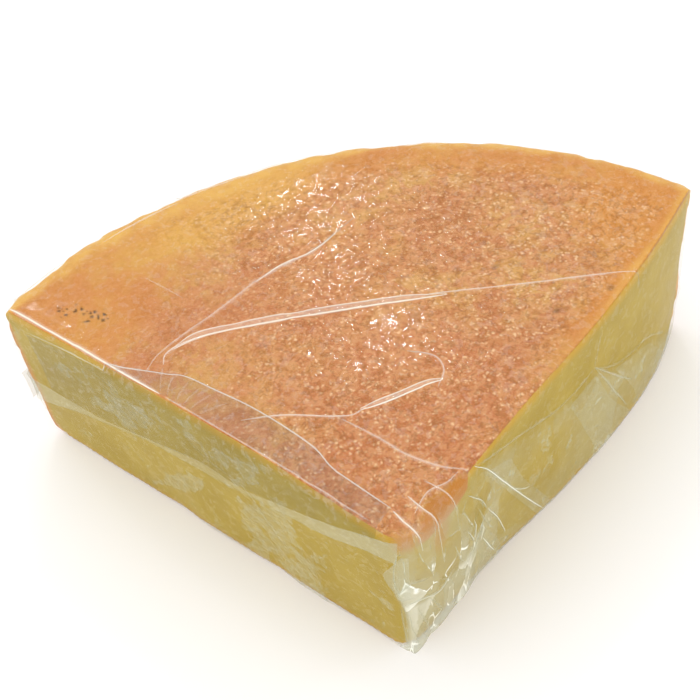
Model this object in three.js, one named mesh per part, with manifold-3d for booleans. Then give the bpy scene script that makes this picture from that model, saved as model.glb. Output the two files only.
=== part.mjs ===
// A quarter of a pressed, washed-rind cheese wheel, wrapped in one sheet of clear film.
//
// Frame: millimetres, +Z up. The wedge lies on its flat base, its thin tip points to -Y and its
// curved heel, the outside of the wheel, to +Y. The origin is under the middle of its box, on the
// surface that it rests on. While it is built, the wheel's axis is x = y = 0.

import * as THREE from 'three';
import { mergeVertices } from 'three/addons/utils/BufferGeometryUtils.js';
import Module from 'manifold-3d';

// The wheel
const wheelRadius = 172;
const wheelHeight = 75;
const topCrown = 3; // the top is this much higher inside its rim
const shoulderRadius = 6; // upper rim
const footRadius = 5; // lower rim
const heelBulge = 1; // the side stands out at mid-height
const centreDip = 5; // the top sinks towards the wheel's centre, which is the wedge's tip
const centreDipReach = 36;

// The two cuts. The left one is flat. The right one stands out from its plane: each entry is the
// share of the way from the tip to the heel, and how far it stands out there.
const wedgeAngle = THREE.MathUtils.degToRad(90);
const tipReach = 10; // the worn tip is round from this far along each cut face
const topBow = [[0, 0], [0.3, 2], [0.6, 4.5], [0.85, 3], [1, 0]];
const footBow = [[0, -5], [0.25, -1.5], [0.5, 5], [0.8, 7.5], [0.92, 4], [1, 0]];

// The film
const filmThickness = 0.5;
const filmGap = 0.4; // between the film and the cheese
const filmSlack = 1; // how far the film hangs off the foot of the right cut face
const lapOverlap = 15; // width of film that lies double on the left cut face
const lapRise = 2; // width of the line where the outer layer joins the rest
const lapGap = 0.35; // between the two layers
const lapSlit = 0.6; // opening behind the outer layer
const lapHeelDrop = 41; // from the wheel's top down to the lap's upper edge, at the heel
const lapTipDrop = 11; // and at the tip

// Fineness of the faceted shapes
const wheelSegments = 104;
const arcSteps = 5;
const topSteps = 8;
const cutSteps = 12;
const cutLevels = 4;

const filmBuild = filmGap + filmThickness;
const cutLength = (1.1 * wheelRadius) / Math.cos(wedgeAngle / 2); // reaches past the heel
const cutMargin = 8; // and past the base and the top

const wasm = await Module();
wasm.setup();

// Booleans on three.js geometries

function toManifold(geometry) {
  const bare = geometry.clone();
  bare.deleteAttribute('normal');
  bare.deleteAttribute('uv');
  const merged = mergeVertices(bare, 1e-4);
  const vertProperties = new Float32Array(merged.attributes.position.array);
  const triVerts = new Uint32Array(merged.index.array);
  return new wasm.Manifold(new wasm.Mesh({ numProp: 3, vertProperties, triVerts }));
}

function toGeometry(manifold) {
  const { numProp, vertProperties, triVerts } = manifold.getMesh();
  const position = new Float32Array((vertProperties.length / numProp) * 3);
  for (let i = 0; i < position.length / 3; i += 1) {
    position.set(vertProperties.subarray(i * numProp, i * numProp + 3), i * 3);
  }
  const geometry = new THREE.BufferGeometry();
  geometry.setAttribute('position', new THREE.BufferAttribute(position, 3));
  geometry.setIndex(new THREE.BufferAttribute(new Uint32Array(triVerts), 1));
  geometry.computeVertexNormals();
  return geometry;
}

// The whole wheel, made larger all round by grow

function arcPoints(centreX, centreY, radius, startAngle, endAngle) {
  const arc = new THREE.EllipseCurve(centreX, centreY, radius, radius, startAngle, endAngle);
  return arc.getPoints(arcSteps);
}

function topHeight(distance) {
  const rim = wheelRadius - shoulderRadius;
  const crown = topCrown * (1 - (distance / rim) ** 3);
  const dip = centreDip * Math.exp(-((distance / centreDipReach) ** 2));
  return wheelHeight - topCrown + crown - dip;
}

function wheelGeometry(grow) {
  const profile = [new THREE.Vector2(0, -grow)];
  const footX = wheelRadius - footRadius;
  profile.push(...arcPoints(footX, footRadius, footRadius + grow, -Math.PI / 2, 0));
  const shoulderX = wheelRadius - shoulderRadius;
  const shoulderZ = wheelHeight - topCrown - shoulderRadius;
  for (let i = 1; i < arcSteps; i += 1) {
    const share = i / arcSteps;
    const bulge = heelBulge * Math.sin(Math.PI * share);
    const height = THREE.MathUtils.lerp(footRadius, shoulderZ, share);
    profile.push(new THREE.Vector2(wheelRadius + bulge + grow, height));
  }
  profile.push(...arcPoints(shoulderX, shoulderZ, shoulderRadius + grow, 0, Math.PI / 2));
  for (let i = topSteps - 1; i >= 0; i -= 1) {
    const distance = shoulderX * (i / topSteps);
    profile.push(new THREE.Vector2(distance, topHeight(distance) + grow));
  }
  const geometry = new THREE.LatheGeometry(profile, wheelSegments);
  geometry.rotateX(Math.PI / 2);
  return geometry;
}

// The shape between the two cuts, made larger all round by grow

const rightWay = new THREE.Vector2(Math.sin(wedgeAngle / 2), Math.cos(wedgeAngle / 2));
const rightOut = new THREE.Vector2(rightWay.y, -rightWay.x);
const leftWay = new THREE.Vector2(-rightWay.x, rightWay.y);
const leftOut = new THREE.Vector2(-leftWay.y, leftWay.x);

function smoothLine(entries) {
  const shares = entries.map(([share]) => share);
  const values = entries.map(([, value]) => value);
  const line = new THREE.CubicInterpolant(shares, values, 1);
  return (share) => line.evaluate(THREE.MathUtils.clamp(share, 0, 1))[0];
}

const topStandOut = smoothLine(topBow);
const footStandOut = smoothLine(footBow);

function rightStandOut(along, height, slack) {
  const share = THREE.MathUtils.clamp(along / wheelRadius, 0, 1);
  const low = 1 - THREE.MathUtils.clamp(height / wheelHeight, 0, 1);
  const hang = slack * low * Math.sin(Math.PI * share);
  return THREE.MathUtils.lerp(topStandOut(share), footStandOut(share), low) + hang;
}

function facePoint(way, out, along, standOut) {
  return way.clone().multiplyScalar(along).addScaledVector(out, standOut);
}

// The point where the line through a along aWay meets the line through b along bWay
function meeting(a, aWay, b, bWay) {
  const reach = b.clone().sub(a).cross(bWay) / aWay.clone().cross(bWay);
  return a.clone().addScaledVector(aWay, reach);
}

function cutOutline(height, grow, slack) {
  const rightPoint = (along) => {
    return facePoint(rightWay, rightOut, along, rightStandOut(along, height, slack) + grow);
  };
  const leftPoint = (along) => facePoint(leftWay, leftOut, along, grow);
  const outline = [rightPoint(cutLength)];
  for (let i = cutSteps; i > 0; i -= 1) {
    outline.push(rightPoint(THREE.MathUtils.lerp(tipReach, wheelRadius, i / cutSteps)));
  }
  const rightStart = rightPoint(tipReach);
  const rightSlope = rightPoint(tipReach + 1).sub(rightStart);
  const leftStart = leftPoint(tipReach);
  const corner = meeting(rightStart, rightSlope, leftStart, leftWay);
  const tip = new THREE.QuadraticBezierCurve(rightStart, corner, leftStart);
  outline.push(...tip.getPoints(arcSteps), leftPoint(cutLength));
  return outline.reverse();
}

// A closed solid through outlines with the same number of points, one above the other
function stackedGeometry(outlines, heights) {
  const count = outlines[0].length;
  const position = [];
  outlines.forEach((outline, level) => {
    outline.forEach((point) => position.push(point.x, point.y, heights[level]));
  });
  const index = [];
  for (let level = 0; level + 1 < outlines.length; level += 1) {
    for (let i = 0; i < count; i += 1) {
      const a = level * count + i;
      const b = level * count + ((i + 1) % count);
      index.push(a, b, b + count, a, b + count, a + count);
    }
  }
  const last = (outlines.length - 1) * count;
  for (const [a, b, c] of THREE.ShapeUtils.triangulateShape(outlines[0], [])) {
    index.push(a, c, b);
  }
  for (const [a, b, c] of THREE.ShapeUtils.triangulateShape(outlines.at(-1), [])) {
    index.push(a + last, b + last, c + last);
  }
  const geometry = new THREE.BufferGeometry();
  geometry.setAttribute('position', new THREE.Float32BufferAttribute(position, 3));
  geometry.setIndex(index);
  return geometry;
}

function betweenCutsGeometry(grow, slack) {
  const heights = [-cutMargin];
  for (let i = 0; i <= cutLevels; i += 1) {
    heights.push((wheelHeight * i) / cutLevels);
  }
  heights.push(wheelHeight + cutMargin);
  return stackedGeometry(heights.map((height) => cutOutline(height, grow, slack)), heights);
}

function wedge(grow, slack) {
  return toManifold(wheelGeometry(grow)).intersect(toManifold(betweenCutsGeometry(grow, slack)));
}

// The lap: on the left cut face the sheet's outer end lies over its inner end

const lapStart = tipReach + 2;
const lapEnd = wheelRadius;

function lapTop(along) {
  return wheelHeight - THREE.MathUtils.mapLinear(along, 0, wheelRadius, lapTipDrop, lapHeelDrop);
}

// A plate along the lap, from below to above its upper edge and from inner to outer off the face
function lapPlate(below, above, inner, outer, trim = 0) {
  const start = lapStart + trim;
  const end = lapEnd - trim;
  const outline = new THREE.Shape([
    new THREE.Vector2(lapTop(start) - below, start),
    new THREE.Vector2(lapTop(start) + above, start),
    new THREE.Vector2(lapTop(end) + above, end),
    new THREE.Vector2(lapTop(end) - below, end),
  ]);
  const geometry = new THREE.ExtrudeGeometry(outline, { depth: outer - inner, bevelEnabled: false });
  const up = new THREE.Vector3(0, 0, 1);
  const way = new THREE.Vector3(leftWay.x, leftWay.y, 0);
  const out = new THREE.Vector3(leftOut.x, leftOut.y, 0);
  geometry.translate(0, 0, inner);
  geometry.applyMatrix4(new THREE.Matrix4().makeBasis(up, way, out));
  return toManifold(geometry);
}

function filmManifold() {
  const layerInner = filmBuild + lapGap;
  const layerOuter = layerInner + filmThickness;
  const outerLayer = lapPlate(lapOverlap, lapRise, layerInner, layerOuter);
  const join = lapPlate(0, lapRise, filmBuild - filmThickness / 2, layerOuter);
  const slit = lapPlate(lapSlit, 0, filmGap / 2, filmBuild + lapGap / 2, lapRise);
  const shell = wedge(filmBuild, filmSlack).subtract(wedge(filmGap, filmSlack));
  return shell.subtract(slit).add(outerLayer).add(join);
}

function namedMesh(name, manifold, colour, roughness, opacity = 1) {
  const material = new THREE.MeshStandardMaterial({
    color: colour,
    roughness,
    metalness: 0,
    opacity,
    transparent: opacity < 1,
  });
  const mesh = new THREE.Mesh(toGeometry(manifold), material);
  mesh.name = name;
  return mesh;
}

const quarter = new THREE.Group();
quarter.add(
  namedMesh('cheese_wedge', wedge(0, 0), 0xd8995f, 0.6),
  namedMesh('film_wrap', filmManifold(), 0xe6e2cf, 0.15, 0.35),
);

const box = new THREE.Box3().setFromObject(quarter);
const middle = box.getCenter(new THREE.Vector3());
quarter.position.set(-middle.x, -middle.y, -box.min.z);

export default quarter;
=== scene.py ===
"""A film-wrapped quarter of a cheese wheel: the looks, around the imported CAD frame."""
import math

import bmesh
import bpy
import numpy as np
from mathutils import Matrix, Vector
from mathutils.bvhtree import BVHTree


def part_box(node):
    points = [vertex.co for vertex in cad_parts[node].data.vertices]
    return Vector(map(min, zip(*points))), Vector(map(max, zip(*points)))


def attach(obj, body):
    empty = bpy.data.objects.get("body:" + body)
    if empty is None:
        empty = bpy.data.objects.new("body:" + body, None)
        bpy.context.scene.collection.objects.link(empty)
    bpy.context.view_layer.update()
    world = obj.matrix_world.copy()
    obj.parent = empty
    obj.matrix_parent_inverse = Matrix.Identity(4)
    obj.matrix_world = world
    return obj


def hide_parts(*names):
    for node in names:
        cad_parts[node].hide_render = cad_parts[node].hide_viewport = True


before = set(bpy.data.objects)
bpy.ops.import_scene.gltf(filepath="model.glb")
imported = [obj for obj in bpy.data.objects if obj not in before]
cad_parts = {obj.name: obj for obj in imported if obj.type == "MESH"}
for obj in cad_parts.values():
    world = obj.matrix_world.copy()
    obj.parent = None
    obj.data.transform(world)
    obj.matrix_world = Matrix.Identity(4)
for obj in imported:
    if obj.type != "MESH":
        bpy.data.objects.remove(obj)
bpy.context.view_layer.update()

MM = 0.001
SCENE = bpy.context.scene

# Places. The wheel's axis stands at the wedge's tip; the left and right cut faces run from it.
LOW, HIGH = (np.array(corner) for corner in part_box("cheese_wedge"))
HALF_ANGLE = math.radians(45)
HEEL_RADIUS = (HIGH[0] - LOW[0]) / 2 / math.sin(HALF_ANGLE)
AXIS = np.array([(LOW[0] + HIGH[0]) / 2, HIGH[1] - HEEL_RADIUS, 0.0])
TOP, BASE = HIGH[2], LOW[2]
RIGHT_WAY = np.array([math.sin(HALF_ANGLE), math.cos(HALF_ANGLE), 0.0])
RIGHT_OUT = np.array([RIGHT_WAY[1], -RIGHT_WAY[0], 0.0])
LEFT_WAY = np.array([-RIGHT_WAY[0], RIGHT_WAY[1], 0.0])
LEFT_OUT = np.array([LEFT_WAY[0], -LEFT_WAY[1], 0.0])
X_WAY, Y_WAY, UP = np.eye(3)


# Numbers over many points

def smoothstep(low, high, value):
    share = np.clip((value - low) / (high - low), 0.0, 1.0)
    return share * share * (3 - 2 * share)


def ramp(low, high, value):
    """A smoothstep between two lengths in millimetres."""
    return smoothstep(low * MM, high * MM, value)


def unit(vectors):
    return vectors / np.linalg.norm(vectors, axis=1)[:, None]


def scatter(cells, seed):
    """A repeatable random number from 0 to 1 for each whole-numbered cell."""
    mask = 0xFFFFFFFF
    mixed = (cells[..., 0] * 73856093) ^ (cells[..., 1] * 19349663) ^ (cells[..., 2] * 83492791)
    mixed = (mixed ^ (seed * 40503)) & mask
    mixed = ((mixed ^ (mixed >> 13)) * 1274126177) & mask
    mixed = ((mixed ^ (mixed >> 16)) * 2246822519) & mask
    return (mixed ^ (mixed >> 15)) / mask


def noise(points, size, seed=0):
    """Smooth noise from -1 to 1 with features of about that size."""
    place = points / size
    cell = np.floor(place).astype(np.int64)
    share = place - cell
    share = share**3 * (share * (share * 6 - 15) + 10)
    total = np.zeros(len(points))
    for corner in np.ndindex(2, 2, 2):
        weight = np.prod(np.where(corner, share, 1 - share), axis=1)
        total += weight * scatter(cell + corner, seed)
    return 2 * total - 1


def layered(points, size, layers, seed=0):
    """Noise with finer and fainter layers added."""
    total = sum(noise(points, size / 2**i, seed + i) / 2**i for i in range(layers))
    return total / (2 - 2.0 ** (1 - layers))


def ridged(points, size, seed=0):
    """Noise from 0 to 1 with sharp crests, like creased film."""
    return 1 - np.abs(noise(points, size, seed))


def cells(points, size, seed=0):
    """The distance to the nearest of scattered points, in cell sizes, and that point's number."""
    place = points / size
    cell = np.floor(place).astype(np.int64)
    best, number = np.full(len(points), 9.0), np.zeros(len(points))
    for step in np.ndindex(3, 3, 3):
        near = cell + np.array(step) - 1
        spot = near + np.stack([scatter(near, seed + k) for k in range(3)], axis=1)
        away = np.linalg.norm(place - spot, axis=1)
        closer = away < best
        best = np.where(closer, away, best)
        number = np.where(closer, scatter(near, seed + 3), number)
    return best, number


def wheel_place(points):
    """Distance from the wheel's axis, and along and off each cut face."""
    flat = points - AXIS
    radius = np.hypot(flat[:, 0], flat[:, 1])
    return {
        "x": flat[:, 0], "y": flat[:, 1], "z": points[:, 2], "radius": radius,
        "left": flat @ LEFT_WAY, "left_off": flat @ LEFT_OUT,
        "right": flat @ RIGHT_WAY, "right_off": flat @ RIGHT_OUT,
    }


def right_inward(p):
    """How far in from the bowed edge of the right cut face, on the top."""
    bow = np.interp(p["right"] / HEEL_RADIUS, [0, 0.3, 0.6, 0.85, 1], [0, 2, 4.5, 3, 0])
    return bow * MM - p["right_off"]


def top_height(radius):
    """The height of the cheese's top: crowned, sunk at the wheel's centre, and rounded off at the rim."""
    crown = 3 * MM * (radius / (HEEL_RADIUS - 6 * MM)) ** 3
    dip = 5 * MM * np.exp(-((radius / (36 * MM)) ** 2))
    return TOP + 0.4 * MM - crown - dip


def lift_rim(points):
    """Raises the middle of the rim a little, where the real wheel stands higher than a plain arc."""
    p = wheel_place(points)
    turned = np.arctan2(p["x"], p["y"]) / HALF_ANGLE
    share = smoothstep(HEEL_RADIUS - 70 * MM, HEEL_RADIUS - 8 * MM, p["radius"])
    share = share * smoothstep(BASE + 10 * MM, TOP - 5 * MM, p["z"])
    lift = 1.8 * (1 - turned**4).clip(0) + 1.6 * smoothstep(0.25, 0.95, turned)
    points[:, 2] += lift * MM * share


def blob(u, v, centre, reach, turn=0.0):
    """1 at the centre of a turned ellipse, falling to 0 at its edge."""
    cosine, sine = math.cos(math.radians(turn)), math.sin(math.radians(turn))
    du, dv = u - centre[0] * MM, v - centre[1] * MM
    a, b = (du * cosine + dv * sine) / (reach[0] * MM), (dv * cosine - du * sine) / (reach[1] * MM)
    return 1 - smoothstep(0.3, 1.0, np.hypot(a, b))


def line_height(along, points):
    """The height of a line through (along, height) pairs in millimetres."""
    ordered = sorted(points)
    return np.interp(along, [p[0] * MM for p in ordered], [p[1] * MM for p in ordered])


# Meshes

def remeshed(node, mode, **settings):
    """A node's solid as an even mesh of quads, as a Blender mesh."""
    work = bpy.data.objects.new("work", bpy.data.objects[node].data.copy())
    SCENE.collection.objects.link(work)
    remesh = work.modifiers.new("even", "REMESH")
    remesh.mode = mode
    for name, value in settings.items():
        setattr(remesh, name, value)
    shown = work.evaluated_get(bpy.context.evaluated_depsgraph_get())
    mesh = bpy.data.meshes.new_from_object(shown)
    bpy.data.objects.remove(work)
    mesh.materials.clear()
    return mesh


def cut_finer(mesh, wanted, cuts):
    """Cuts the faces whose middle passes the test into smaller ones."""
    work = bmesh.new()
    work.from_mesh(mesh)
    middles = np.array([f.calc_center_median() for f in work.faces])
    chosen = wanted(middles)
    edges = [e for e in work.edges if any(chosen[f.index] for f in e.link_faces)]
    bmesh.ops.subdivide_edges(work, edges=edges, cuts=cuts, use_grid_fill=True)
    bmesh.ops.triangulate(work, faces=[f for f in work.faces if len(f.verts) > 4])
    work.to_mesh(mesh)
    work.free()


class Shape:
    """A mesh's points, with the sums over neighbours that smoothing and normals need."""

    def __init__(self, mesh):
        self.mesh = mesh
        found = np.zeros(len(mesh.vertices) * 3)
        mesh.vertices.foreach_get("co", found)
        self.points = found.reshape(-1, 3)
        ends = np.zeros(len(mesh.edges) * 2, np.int64)
        mesh.edges.foreach_get("vertices", ends)
        self.ends = ends.reshape(-1, 2)
        self.count = np.bincount(ends, minlength=len(self.points)).clip(1)

    def eased(self, values, rounds):
        """Values replaced by the mean of their neighbours, some times over."""
        if values.ndim > 1:
            return np.stack([self.eased(column, rounds) for column in values.T], axis=1)
        first, second = self.ends.T
        size = len(values)
        for _ in range(rounds):
            total = np.bincount(first, values[second], size) + np.bincount(second, values[first], size)
            values = total / self.count
        return values

    def store(self):
        self.mesh.vertices.foreach_set("co", self.points.astype(np.float32).ravel())
        self.mesh.update()

    def normals(self):
        self.store()
        found = np.zeros(len(self.points) * 3)
        self.mesh.vertices.foreach_get("normal", found)
        return found.reshape(-1, 3)


def set_values(mesh, values):
    """Named numbers for each point, for the material to read."""
    for name, numbers in values.items():
        layer = mesh.attributes.new(name, "FLOAT", "POINT")
        layer.data.foreach_set("value", np.asarray(numbers, np.float32))


def piece(name, mesh, material):
    made = bpy.data.objects.new(name, mesh)
    SCENE.collection.objects.link(made)
    mesh.materials.append(material)
    mesh.polygons.foreach_set("use_smooth", np.ones(len(mesh.polygons), bool))
    return made


# Materials

class Nodes:
    """Short ways to add shader nodes to one material."""

    def __init__(self, name):
        self.material = bpy.data.materials.new(name)
        self.material.use_nodes = True
        self.tree = self.material.node_tree
        self.tree.nodes.clear()
        self.output = self.add("OutputMaterial")
        self.place = self.add("TexCoord").outputs["Object"]

    def add(self, kind, inputs=None, **settings):
        """A new node with its settings and its inputs, which are values or other nodes' outputs."""
        node = self.tree.nodes.new("ShaderNode" + kind)
        for name, value in settings.items():
            setattr(node, name, value)
        for name, value in (inputs or {}).items():
            self.put(node.inputs[name], value)
        return node

    def put(self, socket, value):
        if isinstance(value, bpy.types.NodeSocket):
            self.tree.links.new(value, socket)
        else:
            socket.default_value = value

    def maths(self, operation, a, b=0.0, clamp=False):
        node = self.add("Math", operation=operation, use_clamp=clamp)
        self.put(node.inputs[0], a)
        self.put(node.inputs[1], b)
        return node.outputs[0]

    def times(self, a, b):
        return self.maths("MULTIPLY", a, b)

    def plus(self, a, b):
        return self.maths("ADD", a, b)

    def attribute(self, name):
        return self.add("Attribute", attribute_name=name).outputs["Fac"]

    def noise(self, size, detail=2.0, distortion=0.0, vector=None):
        inputs = {"Scale": 1 / size, "Detail": detail, "Distortion": distortion}
        return self.add("TexNoise", {**inputs, "Vector": vector or self.place}).outputs["Fac"]

    def grains(self, size, feature="F1", vector=None):
        inputs = {"Scale": 1 / size, "Vector": vector or self.place}
        return self.add("TexVoronoi", inputs, feature=feature).outputs["Distance"]

    def between(self, value, low, high, to_low=0.0, to_high=1.0):
        node = self.add("MapRange", interpolation_type="SMOOTHSTEP")
        for socket, number in zip(node.inputs, (value, low, high, to_low, to_high)):
            self.put(socket, number)
        return node.outputs["Result"]

    def blend(self, share, first, second):
        return self.add("MixRGB", {"Fac": share, "Color1": first, "Color2": second}).outputs["Color"]

    def warped(self, size, strength, vector=None):
        """Places pushed about by noise of a size."""
        wave = self.add("TexNoise", {"Scale": 1 / size, "Vector": vector or self.place}).outputs["Color"]
        middle = self.add("VectorMath", {0: wave, 1: (0.5, 0.5, 0.5)}, operation="SUBTRACT").outputs[0]
        shift = self.scaled(middle, 2 * strength)
        return self.add("VectorMath", {0: vector or self.place, 1: shift}, operation="ADD").outputs[0]

    def scaled(self, vector, scale):
        return self.add("VectorMath", {"Vector": vector, "Scale": scale}, operation="SCALE").outputs[0]

    def stretched(self, scale):
        return self.add("Mapping", {"Vector": self.place, "Scale": scale}).outputs[0]


def colour(red, green, blue):
    """Display values from 0 to 255 as a linear colour."""
    def linear(value):
        value /= 255
        return value / 12.92 if value <= 0.04045 else ((value + 0.055) / 1.055) ** 2.4
    return (linear(red), linear(green), linear(blue), 1.0)


def rind_colour(n, wander, strength, grain, soft):
    """Pink-brown to ochre in blotches, with painted shade near the tip, soft pale grains that are partly
    painted highlight on the bead tops, and brown gaps between them.
    """
    blotches = n.between(n.noise(26 * MM, 4, 0.6), 0.38, 0.62)
    rind = n.blend(blotches, colour(186, 118, 70), colour(202, 152, 84))
    rind = n.blend(n.between(n.noise(7 * MM, 4, 1.0), 0.42, 0.6, 0, 0.7), rind, colour(198, 128, 86))
    rind = n.blend(n.attribute("orange"), rind, colour(206, 136, 58))
    rind = n.blend(n.attribute("ochre"), rind, colour(216, 166, 76))
    # Pink-brown patches of the rind, and painted shade darkening the top near the tip
    rind = n.blend(n.attribute("rosy_and_shade"), rind, colour(192, 118, 74))
    tone = n.noise(3.2 * MM, 4, 0.8)
    some = n.plus(n.times(strength, 0.3), 0.08)
    rind = n.blend(n.times(n.between(tone, 0.42, 0.62), some), rind, colour(218, 168, 120))
    rind = n.blend(n.times(n.between(tone, 0.5, 0.34), some), rind, colour(160, 100, 48))
    # Pale on the bead tops: partly the rind's own pale grain, partly a painted highlight where the beads
    # stand up
    pale = n.times(n.between(grain, 0.5, 0.12), n.between(soft, 0.38, 0.6))
    pale = n.times(pale, n.between(wander, 0.32, 0.56, 0.15, 1.0))
    rind = n.blend(n.times(pale, strength), rind, colour(234, 194, 150))
    dark = n.times(n.between(n.noise(1.9 * MM, 4, 1.0), 0.5, 0.36), strength)
    rind = n.blend(n.times(dark, 0.42), rind, colour(138, 88, 42))
    rind = n.blend(n.between(n.noise(0.7 * MM, 2), 0.45, 0.75, 0.0, 0.25), rind, colour(226, 176, 120))
    rind = n.blend(n.attribute("fleck"), rind, colour(52, 40, 30))
    rim = n.times(n.attribute("rim"), n.between(n.noise(7 * MM, 4), 0.3, 0.6, 0.5, 1.0))
    return n.blend(rim, rind, colour(224, 178, 94))


def paste_colour(n, wander):
    """Even yellow, deeper just under the rind, and amber where it is bruised."""
    cloud = n.between(n.noise(16 * MM, 3), 0.3, 0.7)
    paste = n.blend(cloud, colour(171, 144, 44), colour(181, 154, 56))
    paste = n.blend(n.between(n.noise(2.5 * MM, 2), 0.35, 0.8, 0.0, 0.2), paste, colour(160, 131, 38))
    under = n.plus(n.attribute("depth"), n.times(wander, 1.4 * MM))
    paste = n.blend(n.between(under, 7.5 * MM, 2.2 * MM, 0, 0.6), paste, colour(208, 156, 24))
    paste = n.blend(n.between(under, 1.5 * MM, 0.6 * MM), paste, colour(182, 122, 62))
    return n.blend(n.attribute("amber"), paste, colour(190, 116, 38))


def cheese_material():
    """Rind and paste in one material. The cheese's own numbers say where each of them shows."""
    n = Nodes("washed_rind_cheese")
    wander = n.noise(9 * MM, 3)
    wave = n.add("TexNoise", {"Scale": 1 / (2.4 * MM), "Vector": n.place}).outputs["Color"]
    shift = n.scaled(wave, 1.9 * MM)
    warped = n.add("VectorMath", {0: n.place, 1: shift}, operation="ADD").outputs[0]
    strength = n.attribute("grain")
    grain = n.grains(1.7 * MM, vector=warped)
    soft = n.noise(1.25 * MM, 3, 0.6)
    rind = rind_colour(n, wander, strength, grain, soft)
    skin = n.blend(n.attribute("paste"), rind, paste_colour(n, wander))

    beads = n.times(n.between(grain, 0.75, 0.1), n.times(strength, 0.6))
    height = n.plus(beads, n.times(soft, 0.8))
    height = n.times(height, n.between(n.attribute("paste"), 0, 1, 1.0, 0.12))
    bump = n.add("Bump", {"Strength": 0.7, "Distance": 0.35 * MM, "Height": height})
    body = n.add("BsdfPrincipled", {
        "Base Color": skin,
        "Roughness": n.between(n.attribute("paste"), 0, 1, 0.55, 0.45),
        "Specular IOR Level": 0.15,
        "Normal": bump.outputs[0],
        "Subsurface Weight": 0.2,
        "Subsurface Radius": (1.0, 0.6, 0.2),
        "Subsurface Scale": 5 * MM,
    })
    n.put(n.output.inputs["Surface"], body.outputs[0])
    return n.material


def milky_patches(n):
    """How milky slack film is, in broken patches with veins."""
    mottle = n.noise(8 * MM, 5, 0.9)
    drips = n.noise(1.0, 4, 0.8, vector=n.stretched((70, 70, 26)))
    broken = n.plus(n.times(mottle, 0.5), n.times(drips, 0.5))
    slack = n.plus(n.attribute("slack"), n.times(broken, 1.5))
    patchy = n.between(slack, 1.13, 1.21, 0.0, 0.22)
    network = n.grains(4.5 * MM, "DISTANCE_TO_EDGE", n.warped(3 * MM, 3 * MM))
    return n.times(patchy, n.between(network, 0.16, 0.02, 0.7, 1.5))


def shards(n, crumpled):
    """Crumpled film falls into flat shards with white creases between, which are painted glints: how milky,
    and its normal.
    """
    shard = n.warped(9 * MM, 1.4 * MM, n.stretched((1, 1, 0.32)))
    number = n.add("TexVoronoi", {"Scale": 1 / (7 * MM), "Vector": shard}).outputs["Color"]
    share = n.between(n.add("SeparateColor", {"Color": number}).outputs[0], 0.25, 0.9, 0.0, 0.3)
    # White lines along the shard edges: painted glints on the creases
    white = n.between(n.grains(7 * MM, "DISTANCE_TO_EDGE", shard), 0.04, 0.0)
    white = n.times(white, n.between(n.noise(6 * MM, 2), 0.48, 0.62, 0.0, 0.8))
    milky = n.times(n.plus(share, white), crumpled)
    slant = n.add("VectorMath", {0: number, 1: (0.5, 0.5, 0.5)}, operation="SUBTRACT").outputs[0]
    slant = n.scaled(slant, n.times(crumpled, 0.4))
    facing = n.add("VectorMath", {0: n.add("NewGeometry").outputs["Normal"], 1: slant}, operation="ADD")
    return milky, n.add("VectorMath", {0: facing.outputs[0]}, operation="NORMALIZE").outputs[0]


def film_material():
    """Clear film: see-through, milky where it is slack or folded, whitest where milkiest as a painted
    highlight, and glossy on both sides.
    """
    n = Nodes("clear_cling_film")
    crumpled = n.attribute("crumple")
    shard_milk, facing = shards(n, crumpled)
    milky = n.plus(n.attribute("haze"), milky_patches(n))
    milky = n.maths("ADD", milky, shard_milk, clamp=True)
    # Painted light from the cheese under the film: the milk is pinker and lighter where it faces up over
    # the rind, greener and darker on the sides over the paste
    tint = n.blend(n.attribute("warm"), colour(198, 199, 174), colour(246, 228, 214))
    # The milkiest places, mostly crease crests, turn near white: a painted highlight
    tint = n.blend(n.between(milky, 0.45, 0.85), tint, colour(250, 250, 236))
    pure = n.blend(n.attribute("double"), (0.98, 0.98, 0.965, 1), (0.82, 0.84, 0.87, 1))
    clear = n.add("BsdfTransparent", {"Color": pure}).outputs[0]
    milk = n.add("BsdfDiffuse", {"Color": tint}).outputs[0]
    body = n.add("MixShader", {0: milky, 1: clear, 2: milk}).outputs[0]

    height = n.plus(n.noise(6 * MM, 2, 0.5), n.times(n.noise(1.7 * MM, 2, 0.6), 0.8))
    ripple = n.add("Bump", {"Strength": 0.4, "Distance": 0.22 * MM, "Height": height, "Normal": facing})
    ripple = ripple.outputs[0]
    shine = n.add("BsdfGlossy", {"Roughness": 0.05, "Normal": ripple}).outputs[0]
    away = n.add("LayerWeight", {"Blend": 0.5, "Normal": ripple}).outputs["Facing"]
    steep = n.maths("POWER", away, 5.0)
    # The film shines where there is air behind it, and hardly where it is stuck to the cheese
    air = n.between(n.noise(2.6 * MM, 3, 0.8), 0.55, 0.61, 0.007, 0.08)
    level = n.maths("MAXIMUM", air, n.times(crumpled, 0.07))
    gloss = n.plus(level, n.times(steep, 0.16))
    n.put(n.output.inputs["Surface"], n.add("MixShader", {0: gloss, 1: body, 2: shine}).outputs[0])
    return n.material


# The cheese

def grain_strength(p):
    """How coarse the rind's grain is: strong in the middle and right, faint at the left corner."""
    smooth_corner = blob(p["x"], p["y"], (-88, 112), (72, 40), 40)
    smooth_rim = smoothstep(HEEL_RADIUS - 26 * MM, HEEL_RADIUS - 6 * MM, p["radius"])
    smooth_left = ramp(26, 4, -p["left_off"]) * ramp(50, 90, p["left"])
    smooth_centre = 0.55 * blob(p["x"], p["y"], (-62, 88), (60, 34), 50)
    smooth_right = ramp(8, 1, right_inward(p)) * ramp(50, 100, p["right"])
    rubbed = np.maximum.reduce([
        smooth_corner, 0.9 * smooth_rim, 0.8 * smooth_left, smooth_centre, smooth_right])
    on_heel_side = smoothstep(TOP - 10 * MM, TOP - 20 * MM, p["z"])
    return np.clip(np.maximum(1.0 - rubbed, 0.7 * on_heel_side), 0.06, 1.0)


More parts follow.
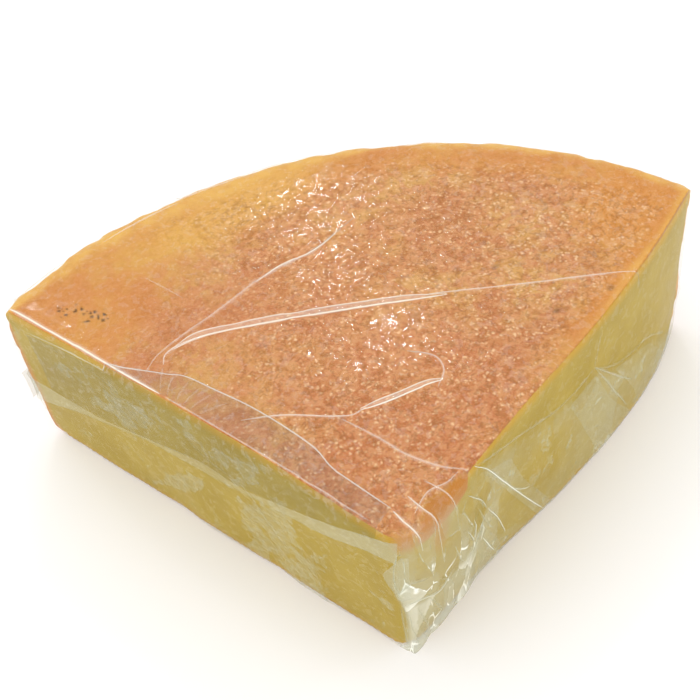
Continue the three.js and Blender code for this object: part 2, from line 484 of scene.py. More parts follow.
def foot_wave(points, p):
    """How far the left cut face stands out near its foot, where the wedge has settled unevenly."""
    near_foot = ramp(34, 2, p["z"]) * ramp(-4, -1, p["left_off"])
    near_foot *= ramp(8, 24, p["left"])
    near_foot *= smoothstep(HEEL_RADIUS, HEEL_RADIUS - 14 * MM, p["left"])
    return 1.5 * MM * near_foot * layered(points * np.array([1, 1, 0]), 30 * MM, 2, 55)


def rind_relief(points, grain):
    """How far the rind stands out: slow swells, small lumps, grains, and pits."""
    swell = 0.5 * MM * layered(points, 42 * MM, 2, 11)
    lumps = 0.16 * MM * layered(points, 9 * MM, 2, 21)
    drift = np.stack([noise(points, 3.5 * MM, 25 + k) for k in range(3)], axis=1)
    away, number = cells(points + 1.1 * MM * drift, 2.1 * MM, 31)
    beads = 0.2 * MM * grain * smoothstep(0.75, 0.15, away) * (0.4 + 0.6 * number)
    pit_away, pit_number = cells(points, 4.5 * MM, 41)
    pits = -0.45 * MM * smoothstep(0.3, 0.08, pit_away) * (pit_number > 0.62) * (0.3 + 0.7 * grain)
    return swell + lumps + beads + pits


def wear_tip(shape, p):
    """Breaks the rind's edge away beside the tip, and gives how far each point is bared paste."""
    notch = np.interp(p["right"], [0, 6 * MM, 12 * MM, 17 * MM, 23 * MM, 30 * MM],
                      [0, 1.2 * MM, 3.6 * MM, 4.3 * MM, 2.2 * MM, 0])
    notch += 0.7 * MM * noise(shape.points, 3 * MM, 91) * (notch > 0)
    past = (p["right_off"] + notch).clip(0) * (notch > 0)
    lowest = p["z"] - (TOP - 16 * MM)
    drop = np.minimum(1.5 * past, 7 * MM) * ramp(0, 10, lowest)
    shape.points[:, 2] -= drop
    sag = 1.5 * MM * ramp(14, 0, p["radius"]) * smoothstep(TOP - 14 * MM, TOP, p["z"])
    shape.points[:, 2] -= sag
    round_tip = ramp(8, 3, p["radius"]) * smoothstep(TOP - 16 * MM, TOP - 10 * MM, p["z"])
    return np.maximum(ramp(0.2, 0.9, drop), round_tip)


def paste_share(p, normals):
    """1 on the cut faces and 0 on the rind."""
    outward = (normals[:, 0] * p["x"] + normals[:, 1] * p["y"]) / p["radius"].clip(MM)
    heel = smoothstep(HEEL_RADIUS - 12 * MM, HEEL_RADIUS - 7 * MM, p["radius"])
    heel *= smoothstep(0.3, 0.5, outward)
    at_foot = smoothstep(BASE + 4 * MM, BASE + 2.5 * MM, p["z"]) * smoothstep(0.98, 0.9, -normals[:, 2])
    return np.maximum(smoothstep(0.72, 0.5, np.abs(normals[:, 2])), at_foot) * (1 - heel)


def roughen(shape, p, normals, paste, grain):
    """Rounds the edges, and gives the rind its relief and the cut faces their smears and waves."""
    worn = shape.eased(shape.points, 3)
    edge = smoothstep(0.03, 0.3, shape.eased(4 * paste * (1 - paste), 2))[:, None]
    shape.points = shape.points + 0.7 * edge * (worn - shape.points)
    relief = rind_relief(shape.points, grain)
    smear = 0.25 * MM * layered(shape.points, 30 * MM, 2, 51) + 0.05 * MM * noise(shape.points, 5 * MM, 61)
    height = relief * (1 - paste) + (smear + foot_wave(shape.points, p)) * paste
    back = smoothstep(HEEL_RADIUS - 5 * MM, HEEL_RADIUS - 2 * MM, p["radius"])
    height += 0.8 * MM * back * noise(shape.points, 6 * MM, 65) * (1 - paste)
    height = np.where(p["z"] < BASE + 2 * MM, np.minimum(height, 0), height)
    shape.points = shape.points + normals * height[:, None]
    shape.points[:, 2] = shape.points[:, 2].clip(BASE - 0.1 * MM)
    shape.store()


def rind_marks(points, p):
    """Where the rind is yellow, ochre, orange or pink-brown, where it is painted darker near the tip as
    shade, and where it has flecks.
    """
    rim_width = (9 + 8 * blob(p["x"], p["y"], (-50, 150), (70, 40), 20)) * MM
    wavy = p["radius"] + 2.5 * MM * layered(points, 9 * MM, 2, 66)
    rim = smoothstep(HEEL_RADIUS - rim_width, HEEL_RADIUS - 0.45 * rim_width, wavy)
    rim *= smoothstep(TOP - 17 * MM, TOP - 6 * MM, p["z"] + 0.7 * (wavy - p["radius"]))
    drift = 6 * MM * layered(points, 25 * MM, 3, 71)
    ochre = blob(p["x"] + drift, p["y"], (-38, 146), (60, 19), 22)
    inward = right_inward(p) + 0.3 * drift
    orange = np.maximum.reduce([
        blob(p["x"], p["y"] + drift, (100, 122), (46, 26), 62),
        0.7 * smoothstep(HEEL_RADIUS - 26 * MM, HEEL_RADIUS - 14 * MM, p["radius"] + drift),
        ramp(13, 3, inward) * ramp(60, 110, p["right"]),
    ])
    right_edge = ramp(3.4, 0.8, inward) * ramp(60, 130, p["right"])
    corner = blob(p["x"] + drift, p["y"], (-92, 104), (52, 30), 40)
    # The first patch is the rind's own pink-brown; the second, stronger one near the tip is painted shade
    rosy_and_shade = np.maximum(blob(p["x"] + drift, p["y"] - drift, (-20, 92), (60, 46), 70),
                      1.4 * blob(p["x"] + drift, p["y"], (10, 46), (62, 52), 50))
    spots, number = cells(points, 1.7 * MM, 81)
    fleck = (number > 0.3) * smoothstep(0.46, 0.24, spots)
    fleck = fleck * smoothstep(0.1, 0.5, blob(p["x"], p["y"], (-92, 110), (15, 5), -24))
    for spot in ((62.1, 74.5), (81.5, 80.5), (47, 98)):
        fleck = np.maximum(fleck, 0.45 * blob(p["x"], p["y"], spot, (2.2, 1.5), 30))
    return {
        "rim": 0.85 * np.maximum(rim, 0.7 * right_edge), "ochre": 0.8 * ochre,
        "orange": 0.85 * np.maximum(orange, 0.7 * corner), "rosy_and_shade": 0.55 * rosy_and_shade, "fleck": 0.9 * fleck,
    }


def cheese_piece(material):
    """The cheese, from its CAD solid: worn, roughened, and numbered for its material."""
    mesh = remeshed("cheese_wedge", "SHARP", octree_depth=7, scale=0.99)
    cut_finer(mesh, lambda middles: middles[:, 2] > TOP - 9.5 * MM, 2)
    shape = Shape(mesh)
    lift_rim(shape.points)
    normals = unit(shape.eased(shape.normals(), 2))
    p = wheel_place(shape.points)
    paste, grain = paste_share(p, normals), grain_strength(p)
    amber = wear_tip(shape, p)
    bruise = blob(p["right"], p["z"], (17, 60), (6, 20)) * ramp(-6, -3, p["right_off"])
    roughen(shape, p, normals, paste, grain)

    from_top = top_height(p["radius"]) - p["z"]
    from_base = p["z"] - BASE + 3 * MM
    from_heel = HEEL_RADIUS - p["radius"] + 3 * MM
    values = {
        "paste": np.maximum(paste, 0.9 * amber), "grain": grain,
        "depth": np.minimum.reduce([from_top, from_base, from_heel]).clip(0),
        "amber": np.maximum(0.85 * amber, 0.5 * bruise * paste),
        **rind_marks(shape.points, p),
    }
    set_values(mesh, values)
    made = piece("cheese_rind_and_paste", mesh, material)
    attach(made, "root")
    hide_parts("cheese_wedge")
    return made


# The film

# Lines on a cut face: along from the tip, and height, in millimetres
LAP_UPPER = [(175.5, 36), (151, 37), (132, 38.5), (107, 45), (84, 51), (66, 50), (49, 55), (35, 59),
             (13, 68), (4, 70)]
LAP_LOWER = [(175.5, 21), (160, 27), (147, 32), (133, 36), (107, 43), (73, 46), (44, 51), (33, 52),
             (13, 59), (4, 60)]
CLING_LINE = [(0, 76), (33, 73), (41, 69), (54, 64), (65, 60), (77, 55), (97, 54), (109, 44), (119, 39),
              (135, 33), (151, 19), (172, 12)]
# The outer layer's border: along the top's left edge, and in from it
FLAP_BORDER = [(160, -3), (140, -0.8), (119, 1), (101, 7), (94, 10), (83, 11), (70, 12), (56, 12), (42, 11),
               (33, 8.5), (22, 8), (11, 7.5)]
EDGE = 0.6  # a place on it less than this far in lies below the top
# The upright fold at the tip: height, and how far along the left face
TIP_FOLD = [(0, 5.2), (20, 4), (30, 4.6), (48, 6), (62, 3.4), (72, 1)]


def tip_fold(z):
    """How far along the left cut face the upright fold stands at each height."""
    heights, along = zip(*TIP_FOLD)
    return np.interp(z, np.array(heights) * MM, np.array(along) * MM)


def right_slack(p):
    """How far the film has left the right cut face, and how near the tip it is, from 0 to 1."""
    on_right = ramp(-7, -1, p["right_off"])
    on_right *= smoothstep(HEEL_RADIUS, HEEL_RADIUS - 10 * MM, p["right"])
    below = line_height(p["right"], CLING_LINE) - p["z"]
    hang = on_right * ramp(0, 7, below)
    before_fold = ramp(1.2, -0.6, p["left"] - tip_fold(p["z"]))
    bag = before_fold * ramp(40, 22, p["right"])
    bag *= smoothstep(TOP - 1 * MM, TOP - 7 * MM, p["z"])
    return hang, bag


def film_offset(points, p):
    """How far the film stands off the cheese."""
    hang, bag = right_slack(p)
    sheets = ridged(points, 31 * MM, 105) ** 2 + 0.35 * ridged(points, 13 * MM, 106) ** 3
    offset = hang * MM * (0.4 + 1.3 * sheets * ramp(2, 22, p["z"]))
    upright = points * np.array([1, 1, 0.12])
    facets, _ = cells(points * np.array([1, 1, 0.6]), 10 * MM, 103)
    pleats = ridged(upright, 12 * MM, 101) ** 1.6 + 0.9 * (1 - facets)
    low = ramp(38, 26, p["z"])
    bulge = np.exp(-((p["z"] - 47 * MM) / (13 * MM)) ** 2)
    offset += bag * MM * (0.3 + 1.8 * bulge + pleats * (0.5 + 0.6 * low))
    on_left = ramp(-2, 0.3, p["left_off"])
    offset += on_left * 0.3 * MM * (1 + layered(points, 17 * MM, 3, 121)) + foot_wave(points, p)
    heel = smoothstep(HEEL_RADIUS - 3 * MM, HEEL_RADIUS, p["radius"])
    gathers = ridged(points * np.array([1, 1, 0.3]), 11 * MM, 107) ** 3
    offset += heel * MM * (0.2 + 1.3 * gathers)
    offset += 0.12 * MM * layered(points, 12 * MM, 2, 131)
    return offset


def pinch_tip(shape):
    """Draws the film out into an upright fold at the tip."""
    p = wheel_place(shape.points)
    reach = np.exp(-np.abs(p["left"] - tip_fold(p["z"])) / (2.4 * MM))
    reach *= ramp(9, 5, p["right"])
    reach *= np.interp(p["z"], [0, 18 * MM, 30 * MM, 46 * MM, 60 * MM, 70 * MM],
                       [4.6 * MM, 2.6 * MM, 1.0 * MM, 3.0 * MM, 1.4 * MM, 0])
    shape.points[:, 1] -= reach


def patch_slack(p, normals, hang, bag):
    """How slack the film is, which says where its milky patches lie."""
    left = smoothstep(0.4, 0.8, normals @ LEFT_OUT)
    upward = smoothstep(0.5, 0.9, normals[:, 2])
    along, z = p["left"], p["z"]
    patches = np.maximum.reduce([
        blob(along, z, (60, 28), (36, 15), -66), blob(along, z, (44, 14), (24, 15), -60),
        0.9 * blob(along, z, (118, 52), (30, 10), -30), 0.8 * blob(along, z, (100, 24), (34, 6), -40),
        0.75 * blob(along, z, (70, 62), (22, 8), -20), 0.7 * blob(along, z, (140, 58), (24, 8), -30),
    ])
    clear = blob(along, z, (38, 68), (26, 7), -12)
    slack = left * (0.26 + 0.28 * patches - 0.3 * clear) + 0.05 * upward
    slack += 0.05 * smoothstep(0.4, 0.8, normals @ RIGHT_OUT) + 0.25 * hang * (1 - bag)
    return slack


def even_haze(points, p, normals, hang, bag):
    """How milky the film is besides its patches: more where it hangs, most in the bag at the tip."""
    z = p["z"]
    dark = np.maximum(blob(p["right"], z, (70, 34), (24, 20), 20), blob(p["right"], z, (30, 52), (10, 24)))
    bent = points + 2 * MM * noise(points, 9 * MM, 109)[:, None]
    _, sheets = cells(bent * np.array([1, 1, 0.45]), 19 * MM, 108)
    _, facet = cells(points * np.array([1, 1, 0.6]), 10 * MM, 103)
    _, sliver = cells(points * np.array([1, 1, 0.15]), 4 * MM, 104)
    low = ramp(36, 30, z)
    high = ramp(48, 62, z)
    far = ramp(95, 115, p["right"])
    haze = 0.008 + 0.01 * smoothstep(0.4, 0.8, normals @ LEFT_OUT)
    haze = haze + hang * (0.05 + 0.24 * sheets + 0.07 * far) * (1 - 0.7 * dark)
    haze += bag * (1 - 0.8 * high) * (0.05 + 0.1 * facet + low * (0.2 + 0.14 * sliver))
    return haze


def crumple_share(p, bag):
    """Where the film is bunched up into shards: in the bag at the tip, and less beside it."""
    beside = ramp(14, 20, p["right"]) * ramp(48, 38, p["right"])
    beside *= ramp(-3, -1, p["right_off"]) * smoothstep(TOP - 6 * MM, TOP - 16 * MM, p["z"])
    high = ramp(46, 62, p["z"])
    low = ramp(34, 26, p["z"])
    return np.maximum(bag, 0.7 * beside) * (1 - 0.6 * high - 0.4 * low)


def slack_region(middles):
    """True where the film hangs loose or is bunched up, so that it needs finer faces."""
    p = wheel_place(middles)
    tip = p["radius"] < 34 * MM
    hanging = (p["right_off"] > -2 * MM) & (p["right"] < 112 * MM)
    return (tip | hanging) & (middles[:, 2] > 2 * MM)


def film_base(cheese):
    """The film's first layer all round, grown from the cheese's CAD solid."""
    mesh = remeshed("cheese_wedge", "VOXEL", voxel_size=1.35 * MM)
    cut_finer(mesh, slack_region, 1)
    shape = Shape(mesh)
    lift_rim(shape.points)
    normals = unit(shape.eased(shape.normals(), 8))
    shape.points = shape.points + 0.75 * MM * normals
    shape.points = shape.eased(shape.points, 6)
    p = wheel_place(shape.points)
    upward = smoothstep(0.5, 0.9, normals[:, 2])
    cling = 0.8 * rind_relief(shape.points, grain_strength(p)) * upward
    offset = film_offset(shape.points, p) + cling
    shape.points = shape.points + normals * offset[:, None]
    pinch_tip(shape)
    hold_off(shape, cheese, 0.2 * MM)
    shape.points[:, 2] = shape.points[:, 2].clip(0)
    shape.store()

    p = wheel_place(shape.points)
    hang, bag = right_slack(p)
    set_values(mesh, {
        "crumple": crumple_share(p, bag),
        "slack": patch_slack(p, normals, hang, bag),
        "haze": even_haze(shape.points, p, normals, hang, bag),
        # where the film faces up, its milk gets the rind's painted light
        "warm": upward,
        "double": np.zeros(len(upward)),
    })
    return mesh


def hold_off(shape, cheese, clearance):
    """Pushes points out until they are clear of the cheese."""
    tree = BVHTree.FromObject(cheese, bpy.context.evaluated_depsgraph_get())
    for i, point in enumerate(shape.points):
        near, normal, _, _ = tree.find_nearest(Vector(point))
        gap = (Vector(point) - near).dot(normal)
        if gap < clearance:
            shape.points[i] = point + np.array(normal) * (clearance - gap)


# Rays on to the film start this far up, beside a cut face, and behind the wheel's axis
ABOVE, BESIDE, BEHIND = 0.2, 0.1, 0.4


def on_top(x, y):
    """A ray on to the top at a place measured from the wheel's axis."""
    return AXIS + x * MM * X_WAY + y * MM * Y_WAY + ABOVE * UP, -UP


def on_left(along, height):
    return AXIS + along * MM * LEFT_WAY + height * MM * UP + BESIDE * LEFT_OUT, -LEFT_OUT


def on_right(along, height):
    return AXIS + along * MM * RIGHT_WAY + height * MM * UP + BESIDE * RIGHT_OUT, -RIGHT_OUT


def on_heel(degrees, height):
    """A ray on to the curved heel, at an angle from its middle as seen from the axis."""
    way = np.array([math.sin(math.radians(degrees)), math.cos(math.radians(degrees)), 0])
    return AXIS + BEHIND * way + height * MM * UP, -way


def on_tip(x, height):
    return AXIS + x * MM * X_WAY + height * MM * UP - BESIDE * Y_WAY, Y_WAY


def over_left_edge(along, inward):
    """A ray on to the top, in from its left edge, or on to the left cut face just below that edge."""
    if inward > EDGE:
        spot = along * MM * LEFT_WAY - inward * MM * LEFT_OUT
        return AXIS + spot + ABOVE * UP, -UP
    return on_left(along, top_height(along * MM) / MM - 2.5 + min(inward, 0.0))


def smooth_path(points, step):
    """A smooth line through points, with places about that far apart."""
    pts = np.array(points, float)
    pts = np.vstack([2 * pts[0] - pts[1], pts, 2 * pts[-1] - pts[-2]])
    line = []
    for a, b, c, d in zip(pts, pts[1:], pts[2:], pts[3:]):
        count = max(2, round(np.linalg.norm(c - b) / step))
        for t in np.arange(count) / count:
            line.append(0.5 * (2 * b + (c - a) * t + (2 * a - 5 * b + 4 * c - d) * t**2
                               + (3 * b - a - 3 * c + d) * t**3))
    line.append(pts[-2])
    return np.array(line)


def side_by_side(lines, step):
    """Two lines as smooth paths with the same number of places."""
    paths = [smooth_path(line, step) for line in lines]
    share = np.linspace(0, 1, max(len(path) for path in paths))
    return [
        np.stack([np.interp(share, np.linspace(0, 1, len(path)), path[:, k]) for k in (0, 1)], 1)
        for path in paths]


# Sections across a crease: share of its half width, share of its height, and how milky it is, whose white
# on the crest is partly painted highlight
RIDGE = [(-1, 0, 0), (-0.6, 0.16, 0.1), (-0.28, 0.62, 0.5), (0, 1, 1), (0.34, 0.55, 0.4),
         (0.65, 0.14, 0.1), (1, 0, 0)]
FOLD = [(-1, 0, 0.1), (-0.86, 0.75, 1), (-0.7, 1, 0.9), (-0.45, 0.5, 0.3), (0, 0.32, 0.2),
        (0.45, 0.45, 0.3), (0.7, 0.95, 0.9), (0.86, 0.7, 1), (1, 0, 0.1)]
# How far apart the places along a crease and on a panel are, in millimetres
CREASE_STEP, PANEL_STEP = 0.7, 1.2


class FilmLayers:
    """Extra layers of the sheet: creases, folds and laps, which join the film's mesh."""

    def __init__(self, mesh):
        self.tree = BVHTree.FromPolygons(
            [v.co for v in mesh.vertices], [tuple(f.vertices) for f in mesh.polygons])
        self.points, self.faces = [], []
        self.values = {"haze": [], "slack": [], "warm": [], "double": [], "crumple": []}

    def hit(self, ray):
        """Where a ray meets the film, and the film's normal there."""
        start, way = ray
        place, normal, _, _ = self.tree.ray_cast(Vector(start), Vector(way))
        return (None, None) if place is None else (np.array(place), np.array(normal))

    def grid(self, rows, outward, **values):
        """Adds rows of points as a strip of quads that faces outward, with values for each point."""
        first, across = len(self.points), len(rows[0])
        for row in rows:
            self.points.extend(row)
        for name, kept in self.values.items():
            kept.extend(values.get(name, [0.0] * (across * len(rows))))
        turn = np.cross(rows[0][1] - rows[0][0], rows[1][0] - rows[0][0]) @ outward < 0
        for i in range(len(rows) - 1):
            for j in range(across - 1):
                a = first + i * across + j
                quad = (a, a + 1, a + 1 + across, a + across)
                self.faces.append(quad[::-1] if turn else quad)

    def crease(self, side, points, half_width, height, haze, taper=0.3, section=RIDGE):
        """A crease that stands on the film along a line, thinning out at both ends."""
        spots = [self.hit(side(*place)) for place in smooth_path(points, CREASE_STEP)]
        spots = [spot for spot in spots if spot[0] is not None]
        places, normals = (np.array(part) for part in zip(*spots))
        for _ in range(3):
            normals[1:-1] = normals[:-2] + normals[1:-1] + normals[2:]
            normals = unit(normals)
        ways = unit(np.gradient(places, axis=0))
        share = np.linspace(0, 1, len(places))
        size = np.minimum(smoothstep(0, taper, share), smoothstep(1, 1 - taper, share)) ** 0.6
        size *= 1 + 0.3 * noise(places, 7 * MM, 151)
        rows = []
        for place, normal, way, grow in zip(places, normals, ways, size):
            row = []
            for out, up, _ in section:
                spot = place + np.cross(normal, way) * out * half_width * MM * (0.25 + 0.75 * grow)
                near, _, _, _ = self.tree.find_nearest(Vector(spot))
                row.append(np.array(near) + normal * (0.05 + up * height * grow) * MM)
            rows.append(row)
        # Milky white on the crests: partly folded film, partly painted highlight
        milky = [haze * share for _, _, share in section] * len(rows)
        # Crests that face up get the rind's painted light in their milk
        warm = np.repeat(smoothstep(0.2, 0.6, normals[:, 2]), len(section))
        self.grid(rows, normals[0], haze=milky, warm=warm)

    def panel(self, side, lines, lift, haze, slack=0.0, double=0.0, spare=None):
        """A second layer of film between two lines, as milky as haze says for each place on it."""
        first, second = side_by_side(lines, PANEL_STEP)
        width = float(np.linalg.norm(first - second, axis=1).max())
        parts = np.linspace(0, 1, max(4, round(width / PANEL_STEP)) + 1)
        rows, outward, hazes, warmth = [], None, [], []
        for a, b in zip(first, second):
            row, row_haze, row_warmth = [], [], []
            for part in parts:
                spot = a + (b - a) * part
                place, normal = self.hit(side(*spot))
                if place is None and spare is not None:
                    place, normal = spare(*spot)
                if place is None:
                    break
                raised = 0.3 * abs(2 * part - 1) ** 8
                wave = 0.12 * (1 + noise(place[None], 6 * MM, 161)[0])
                row.append(place + normal * (lift + raised + wave) * MM)
                row_haze.append(haze(*spot))
                # Places that face up get the rind's painted light in their milk
                row_warmth.append(float(normal[2] > 0.6))
                outward = normal if outward is None else outward
            if len(row) == len(parts):
                rows.append(row)
                hazes.extend(row_haze)
                warmth.extend(row_warmth)
        count = len(hazes)
        self.grid(rows, outward, haze=hazes, slack=[slack] * count, warm=warmth, double=[double] * count)


def even(milky):
    """The same haze at every place of a panel."""
    return lambda *place: milky


def flap_haze(along, inward):
    """The flap is a little milky on the top, and clear where it goes over the edge."""
    return 0.035 if inward > EDGE else 0.0


def lap_haze(along, height):
    """The lap is milkier towards both of its ends."""
    return 0.2 + 0.1 * smoothstep(120, 168, along) + 0.18 * smoothstep(62, 20, along)


def past_left_face(along, height):
    """A place on the plane of the film over the left cut face, for what pokes past its end."""
    return AXIS + along * MM * LEFT_WAY + height * MM * UP + 1.2 * MM * LEFT_OUT, LEFT_OUT


def add_laps(layers):
    """The sheet's outer end over the top's left edge, the band below it, and an ear at the tip."""
    heights = np.interp([along for along, _ in FLAP_BORDER], *zip(*sorted(LAP_UPPER)))
    lower = [(along, height + 2 - top_height(along * MM) / MM)
             for (along, _), height in zip(FLAP_BORDER, heights)]
    edge = over_left_edge
    layers.panel(edge, (FLAP_BORDER, lower), 0.3, flap_haze, 0.15, double=1.0)
    # The flap's border line is milky white, partly as a painted highlight on the film's edge
    layers.crease(edge, FLAP_BORDER, 0.5, 0.2, haze=0.9, taper=0.05)
    layers.panel(on_left, (LAP_UPPER, LAP_LOWER), 0.5, lap_haze, spare=past_left_face)
    # Milky lines along the top's left edge: painted highlight where the film is stretched over it
    layers.crease(edge, [(170, 1), (140, 0.9), (118, 0.7), (96, 0.7)], 1.4, 0.4, haze=0.9, taper=0.1)
    layers.crease(edge, [(96, 0.7), (70, 0.7), (40, 0.7), (14, 0.7)], 0.6, 0.3, haze=0.55, taper=0.1)
    for along in (80, 84, 87, 90, 94, 97):
        lean = (along - 88) * 0.6
        path = [(along, 1.5), (along + lean * 0.5, 5), (along + lean, 9)]
        layers.crease(edge, path, 0.8, 0.35, haze=0.2)
    ear = ([(2.5, 64), (6, 57), (9, 50), (6, 44), (4, 40)], [(1, 64), (1, 56), (1, 50), (1, 45), (1, 40)])
    layers.panel(on_left, ear, 0.5, even(0.32))


# Drawn lines in the film: where on it, half their width, how far they stand out, and their haze, which
# partly paints highlights on them
TOP_CREASES = [
    ([(-72, 78), (-66, 86), (-47, 99), (-29, 112), (-13, 119), (-1, 128), (5, 133)], 1.1, 0.6, 0.45),
    ([(-33, 109.5), (-22, 115.5), (-12, 119), (-3, 126)], 0.8, 0.9, 0.9),
    ([(20, 90.5), (40, 89), (59, 87.5), (93, 85.5)], 0.9, 0.4, 0.6),
    ([(-66, 80), (-65, 84), (-60, 87), (-50, 89.5)], 0.8, 0.6, 0.7),
    ([(-43, 52), (-29, 51), (-11, 47), (-5, 48.5)], 0.8, 0.4, 0.7),
    ([(19, 52), (22, 58), (20, 64), (12, 68)], 0.8, 0.4, 0.6),
    ([(-12, 46), (-2, 37), (5, 30), (14, 24), (22, 21)], 1.1, 0.4, 0.5),
    ([(-70, 120), (-62, 112), (-58, 108)], 0.6, 0.3, 0.3),
    ([(-2, 12), (1, 7), (5, 2)], 0.9, 0.8, 0.9),
    ([(3, 16), (7, 10), (11, 6)], 0.8, 0.8, 0.8),
    ([(9, 20), (13, 16), (17, 12)], 0.6, 0.8, 0.7),
    ([(19, 21), (15, 18), (9, 16), (4, 10)], 0.7, 0.8, 0.6),
]
RIGHT_CREASES = [
    ([(33, 73), (38, 66), (46, 50), (52, 38), (61, 20), (70, 3)], 1.0, 0.9, 1.0),
    ([(52, 38), (56, 33), (60, 30)], 0.6, 0.7, 0.9),
    ([(27, 66), (33, 56), (38, 44)], 0.7, 0.8, 0.8),
    ([(33, 50), (37, 38), (42, 26)], 0.6, 0.8, 0.6),
    ([(29, 50), (29.5, 44), (30, 37)], 0.5, 0.6, 0.9),
    ([(39, 42), (44, 30), (49, 14)], 0.7, 0.9, 1.0),
    ([(36, 37), (36, 32), (35.5, 26)], 0.7, 0.7, 1.0),
    ([(37, 26), (40, 17), (43.5, 9)], 1.0, 0.8, 0.9),
    ([(38, 41), (34, 35), (30, 26)], 0.5, 0.6, 0.6),
    ([(98, 54), (107, 42), (121, 25)], 0.8, 0.6, 0.6),
    ([(98, 54), (106, 36), (119, 12)], 0.8, 0.6, 0.6),
    ([(97, 54), (99, 62), (101, 70)], 0.5, 0.3, 0.3),
]
LEFT_CREASES = [
    ([(138, 70), (124, 66), (112, 60), (101, 58)], 0.5, 0.3, 0.2),
    ([(92, 64), (80, 54), (66, 50), (58, 36), (50, 20)], 0.6, 0.3, 0.25),
]
# The tip's milky lines are partly painted highlight streaks on the pleats
TIP_CREASES = [
    ([(-3.5, 34), (2, 36), (8, 33), (14, 37)], 0.9, 0.7, 0.8),
    ([(-6, 44), (0, 50), (6, 48)], 0.7, 0.7, 0.4),
    ([(-3.5, 3), (-3.8, 16), (-4.2, 30)], 0.6, 0.7, 0.5),
    ([(0, 4), (-1, 14), (-2, 28)], 0.6, 0.7, 0.5),
    ([(4, 9), (3, 18), (1, 30)], 0.6, 0.7, 0.45),
    ([(9, 14), (8, 22), (5, 33)], 0.6, 0.7, 0.5),
    ([(14, 22), (13, 30), (9, 42)], 0.5, 0.7, 0.45),
    ([(-4.2, 44), (-4.6, 54), (-3, 64)], 0.6, 0.7, 0.5),
    ([(18, 34), (16, 44), (15, 52)], 0.5, 0.7, 0.7),
    ([(22, 36), (21, 44), (20, 50)], 0.5, 0.7, 0.9),
]


def add_creases(layers):
    """The drawn lines, and the few that are double or end sharply."""
    for side, creases in (
        (on_top, TOP_CREASES), (on_right, RIGHT_CREASES), (on_left, LEFT_CREASES), (on_tip, TIP_CREASES),
    ):
        for path, half_width, height, haze in creases:
            layers.crease(side, path, half_width, height, haze)
    double = [(-63, 86), (-53, 90), (-36, 91), (-20, 91), (13, 90), (29, 89)]
    layers.crease(on_top, double, 1.6, 0.55, 0.8, 0.15, FOLD)
    layers.crease(on_top, [(-6, 48.5), (5, 51), (15, 54), (21, 54.5)], 1.4, 0.6, 0.9, section=FOLD)
    layers.crease(on_right, [(33, 73), (54, 64), (77, 55), (97, 54)], 0.7, 0.5, 0.4, 0.1)
    layers.crease(on_right, [(97, 54), (109, 44), (119, 39), (135, 33), (151, 19)], 0.7, 0.5, 0.25, 0.1)


def add_right_sheets(layers):
    """Places where the slack film on the right cut face lies double."""
    for first, second, milky in (
        ([(36, 66), (50, 38), (66, 4)], [(50, 58), (58, 36), (74, 4)], 0.16),
        ([(82, 50), (90, 30), (100, 4)], [(97, 51), (106, 30), (122, 6)], 0.15),
        ([(109, 42), (118, 26), (126, 8)], [(134, 31), (142, 20), (150, 10)], 0.08),
        ([(20, 30), (26, 18), (32, 3)], [(34, 40), (42, 22), (48, 3)], 0.1),
    ):
        layers.panel(on_right, (first, second), 0.35, even(milky))


def add_heel_folds(layers):
    """The ends of the sheet, folded like an envelope over the curved heel."""
    left_flap = ([(-43, 70), (-22, 44), (-4, 12)], [(-43, 66), (-28, 30), (-10, 4)])
    right_flap = ([(-4, 12), (18, 40), (43, 64)], [(-10, 4), (16, 30), (43, 52)])
    layers.panel(on_heel, left_flap, 0.4, even(0.16))
    layers.panel(on_heel, right_flap, 0.5, even(0.12))
    for path in (
        [(-43, 70), (-22, 44), (-4, 12)], [(43, 64), (18, 40), (-4, 12)], [(-36, 72), (-34, 50), (-30, 30)],
        [(-20, 73), (-17, 58), (-18, 46)], [(-6, 73), (-4, 50), (-6, 24)], [(8, 73), (7, 56), (9, 38)],
        [(24, 72), (20, 52), (22, 40)], [(36, 70), (34, 44), (37, 12)], [(14, 26), (16, 14), (15, 3)],
        [(-24, 26), (-26, 14), (-25, 3)], [(-38, 40), (-37, 22), (-39, 6)], [(26, 36), (28, 18), (27, 4)],
    ):
        layers.crease(on_heel, path, 0.9, 0.9, haze=0.45)


def add_rim_highlight_lines(layers):
    """Film drawn tight over the back of the rim, in milky crease lines that are partly painted highlights.
    """
    rim = HEEL_RADIUS / MM - 7
    for start, end in ((-31, -20), (-24, -9), (-12, 2), (-43, -36), (8, 20)):
        angles = np.radians(np.linspace(start, end, 6))
        path = [(rim * math.sin(a) + 0.8 * math.sin(9 * a), rim * math.cos(a)) for a in angles]
        # Milky crease lines along the rim: painted highlights on the film
        layers.crease(on_top, path, 0.7, 0.35, haze=0.7)
        rim += 1.4


def film_piece(cheese, material):
    """The whole sheet: its first layer, and the creases, folds and laps on it."""
    mesh = film_base(cheese)
    layers = FilmLayers(mesh)
    add_laps(layers)
    add_creases(layers)
    add_right_sheets(layers)
    add_rim_highlight_lines(layers)
    add_heel_folds(layers)
    extra = bpy.data.meshes.new("film_layers")
    extra.from_pydata([tuple(p) for p in layers.points], [], layers.faces)
    set_values(extra, layers.values)
    made = piece("cling_film_sheet", mesh, material)
    join(made, piece("film_layers", extra, material))
    made.visible_shadow = False  # thin film lets almost all light through to the cheese
    made.visible_diffuse = False
    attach(made, "root")
    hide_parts("film_wrap")
    return made


def join(kept, other):
    bpy.ops.object.select_all(action="DESELECT")
    other.select_set(True)
    kept.select_set(True)
    bpy.context.view_layer.objects.active = kept
    bpy.ops.object.join()


# Floor, light and camera

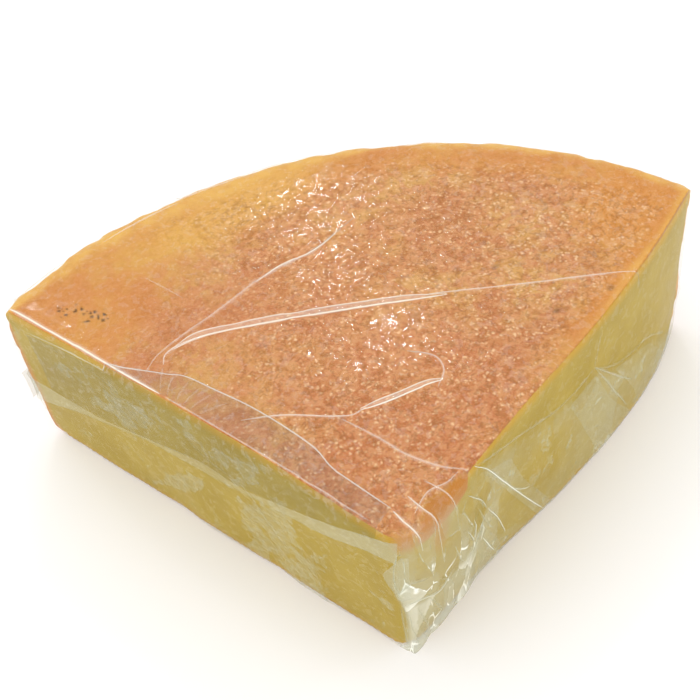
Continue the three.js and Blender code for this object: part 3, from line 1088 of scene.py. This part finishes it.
def stage():
    """A wide pale floor under an even white sky."""
    reach = 16.0
    mesh = bpy.data.meshes.new("floor")
    corners = [(-reach, -reach), (reach, -reach), (reach, reach), (-reach, reach)]
    mesh.from_pydata([(x, y, 0) for x, y in corners], [], [(0, 1, 2, 3)])
    n = Nodes("pale_floor")
    shade = n.add("BsdfDiffuse", {"Color": (0.98, 0.98, 0.98, 1)})
    n.put(n.output.inputs["Surface"], shade.outputs[0])
    floor = piece("floor", mesh, n.material)
    world = bpy.data.worlds.new("studio")
    SCENE.world = world
    world.use_nodes = True
    sky = world.node_tree.nodes["Background"]
    sky.inputs["Color"].default_value = (1.0, 1.0, 1.0, 1)
    sky.inputs["Strength"].default_value = 1.0


def lamp(name, place, size, power, seen_in_gloss=True):
    """A soft lamp that faces the wedge. The film mirrors it only if it is seen in gloss."""
    light = bpy.data.lights.new(name, "AREA")
    light.shape = "RECTANGLE"
    light.size, light.size_y = size
    light.energy = power
    made = bpy.data.objects.new(name, light)
    SCENE.collection.objects.link(made)
    made.location = place
    made.rotation_euler = (Vector((0, 0, 0.04)) - Vector(place)).to_track_quat("-Z", "Y").to_euler()
    made.visible_glossy = seen_in_gloss


def lights():
    """Broad soft light from above and in front, and small lamps behind for the film's glints."""
    lamp("overhead", (-0.25, 0.15, 1.3), (1.0, 0.9), 2.3, seen_in_gloss=False)
    lamp("front_right", (0.9, -0.9, 0.8), (0.7, 0.7), 1.0, seen_in_gloss=False)
    lamp("front_left", (-1.15, -0.45, 0.6), (0.8, 0.6), 1.2, seen_in_gloss=False)
    lamp("glint_back", (0.0, 1.03, 0.95), (0.07, 0.04), 0.5)
    lamp("glint_high", (0.07, 0.83, 1.06), (0.07, 0.03), 0.42)
    lamp("glint_left", (-0.7, 1.0, 1.2), (0.1, 0.05), 0.6)
    lamp("glint_side", (1.2, 0.2, 0.7), (0.1, 0.2), 0.5)
    lamp("glint_front", (0.5, -1.2, 0.35), (0.2, 0.08), 0.5)


def camera():
    """The photo's view, from a fit of the wedge's corners."""
    data = bpy.data.cameras.new("camera")
    data.lens = 65.2
    made = bpy.data.objects.new("camera", data)
    SCENE.collection.objects.link(made)
    made.location = AXIS + np.array([-11.2, -188.1, 387.0]) * MM
    made.rotation_euler = [math.radians(angle) for angle in (39.62, 5.81, -8.16)]
    SCENE.camera = made


SCENE.view_settings.view_transform = "Standard"
camera()
stage()
lights()
cheese_object = cheese_piece(cheese_material())
film_piece(cheese_object, film_material())
